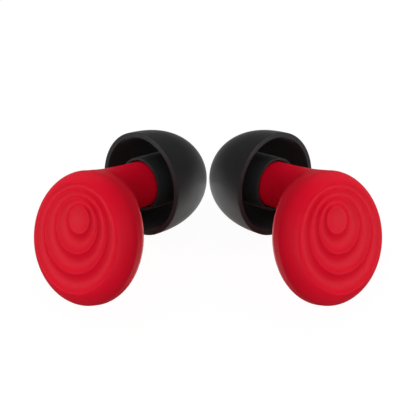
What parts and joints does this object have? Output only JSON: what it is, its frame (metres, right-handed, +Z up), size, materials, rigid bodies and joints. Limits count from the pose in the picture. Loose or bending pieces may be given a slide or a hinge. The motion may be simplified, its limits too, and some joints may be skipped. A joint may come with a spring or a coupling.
{
  "type": "reusable ear plugs",
  "caption": "Reusable ear plugs: a round red grip with a ripple face, a neck, and a hollow black dome tip that pulls off its stiff nozzle.",
  "frame": {"origin": "middle of the pair's footprint on the table it lies on", "axes": "+X from the left plug to the right one, +Y from the knobs to the ear tips, +Z up from the table"},
  "size_m": [0.04, 0.024, 0.0135],
  "materials": {
    "red_silicone": "satin",
    "black_silicone": "satin",
    "core_plastic": "matte",
    "foam": "open-cell foam",
    "steel_mesh": "satin"
  },
  "bodies": {
    "left_tip": {"left_ear_tip": "black_silicone"},
    "left_plug": {"left_knob": "red_silicone", "left_core": "core_plastic", "left_core_cap": "core_plastic", "left_damper_foam": "foam", "left_nozzle_mesh": "steel_mesh"},
    "right_tip": {"right_ear_tip": "black_silicone"},
    "right_plug": {"right_knob": "red_silicone", "right_core": "core_plastic", "right_core_cap": "core_plastic", "right_damper_foam": "foam", "right_nozzle_mesh": "steel_mesh"}
  },
  "joints": [
    {"name": "left_plug_pull", "type": "slide", "parent": "left_tip", "child": "left_plug", "axis": [-0.671, -0.6805, 0.2944], "range_m": [0, 0.01]},
    {"name": "right_tip_lift", "type": "slide", "parent": "left_tip", "child": "right_tip", "axis": [0, 0, 1], "range_m": [0, 0.03]},
    {"name": "right_plug_pull", "type": "slide", "parent": "right_tip", "child": "right_plug", "axis": [0.671, -0.6805, 0.2944], "range_m": [0, 0.01]}
  ]
}
